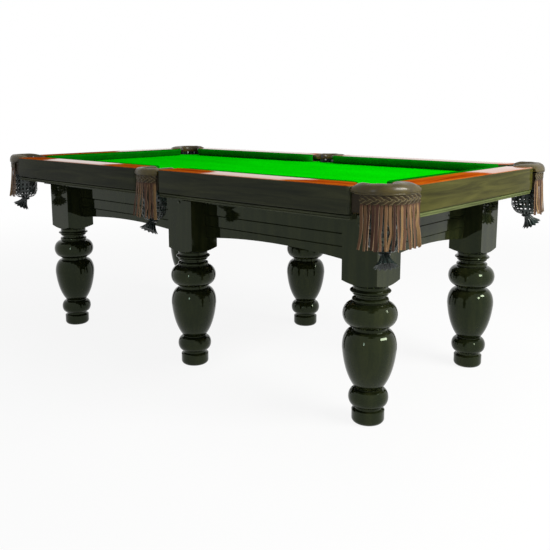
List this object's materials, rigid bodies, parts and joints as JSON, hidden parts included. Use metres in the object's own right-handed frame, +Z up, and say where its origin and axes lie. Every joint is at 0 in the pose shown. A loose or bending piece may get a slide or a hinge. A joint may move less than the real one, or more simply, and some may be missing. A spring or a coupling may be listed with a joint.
{
  "type": "english pool table",
  "caption": "Slate-bed English pool table on turned legs, with leather-capped pockets, hanging fringes and drop baskets.",
  "frame": {"origin": "centre of the floor plan, at the floor", "axes": "+X along the table's length, +Y across it towards the far side, +Z up"},
  "size_m": [2.142, 1.226, 0.828],
  "materials": {
    "mahogany": "high gloss lacquer over dark red-brown wood",
    "dark_lacquer": "high gloss near-black lacquer",
    "frame_timber": "plain sawn timber",
    "slate": "honed slate",
    "green_cloth": "napped wool cloth",
    "cushion_rubber": "matt rubber",
    "cap_leather": "polished leather",
    "fringe_leather": "soft leather strips and plait",
    "basket_leather": "black woven leather",
    "zinc_steel": "zinc plate",
    "brass": "plain"
  },
  "bodies": {
    "table": {"slate_bed": "slate", "bed_cloth": "green_cloth", "cushion_cloths": "green_cloth", "rail_mouldings": "mahogany", "long_beams": "frame_timber", "cross_beams": "frame_timber", "frame_boards": "dark_lacquer", "slate_liners": "frame_timber", "leveller_inserts": "brass", "rail_bolts": "zinc_steel", "leg_bolts": "zinc_steel", "slate_screws": "zinc_steel", "rail_near_left": "mahogany", "cushion_near_left": "cushion_rubber", "apron_near_left": "dark_lacquer", "rail_near_right": "mahogany", "cushion_near_right": "cushion_rubber", "apron_near_right": "dark_lacquer", "rail_far_left": "mahogany", "cushion_far_left": "cushion_rubber", "apron_far_left": "dark_lacquer", "rail_far_right": "mahogany", "cushion_far_right": "cushion_rubber", "apron_far_right": "dark_lacquer", "rail_end_left": "mahogany", "cushion_end_left": "cushion_rubber", "apron_end_left": "dark_lacquer", "rail_end_right": "mahogany", "cushion_end_right": "cushion_rubber", "apron_end_right": "dark_lacquer", "cap_near_left": "cap_leather", "fringe_near_left": "fringe_leather", "basket_near_left": "basket_leather", "leg_near_left": "dark_lacquer", "cap_near_middle": "cap_leather", "fringe_near_middle": "fringe_leather", "basket_near_middle": "basket_leather", "leg_near_middle": "dark_lacquer", "cap_near_right": "cap_leather", "fringe_near_right": "fringe_leather", "basket_near_right": "basket_leather", "leg_near_right": "dark_lacquer", "cap_far_left": "cap_leather", "fringe_far_left": "fringe_leather", "basket_far_left": "basket_leather", "leg_far_left": "dark_lacquer", "cap_far_middle": "cap_leather", "fringe_far_middle": "fringe_leather", "basket_far_middle": "basket_leather", "leg_far_middle": "dark_lacquer", "cap_far_right": "cap_leather", "fringe_far_right": "fringe_leather", "basket_far_right": "basket_leather", "leg_far_right": "dark_lacquer"},
    "leveller_near_left": {"leveller_near_left": "zinc_steel"},
    "leveller_near_middle": {"leveller_near_middle": "zinc_steel"},
    "leveller_near_right": {"leveller_near_right": "zinc_steel"},
    "leveller_far_left": {"leveller_far_left": "zinc_steel"},
    "leveller_far_middle": {"leveller_far_middle": "zinc_steel"},
    "leveller_far_right": {"leveller_far_right": "zinc_steel"}
  },
  "joints": [
    {"name": "leveller_near_left_screw", "type": "slide", "parent": "table", "child": "leveller_near_left", "axis": [0, 0, -1], "range_m": [0, 0.015]},
    {"name": "leveller_near_middle_screw", "type": "slide", "parent": "table", "child": "leveller_near_middle", "axis": [0, 0, -1], "range_m": [0, 0.015]},
    {"name": "leveller_near_right_screw", "type": "slide", "parent": "table", "child": "leveller_near_right", "axis": [0, 0, -1], "range_m": [0, 0.015]},
    {"name": "leveller_far_left_screw", "type": "slide", "parent": "table", "child": "leveller_far_left", "axis": [0, 0, -1], "range_m": [0, 0.015]},
    {"name": "leveller_far_middle_screw", "type": "slide", "parent": "table", "child": "leveller_far_middle", "axis": [0, 0, -1], "range_m": [0, 0.015]},
    {"name": "leveller_far_right_screw", "type": "slide", "parent": "table", "child": "leveller_far_right", "axis": [0, 0, -1], "range_m": [0, 0.015]}
  ]
}
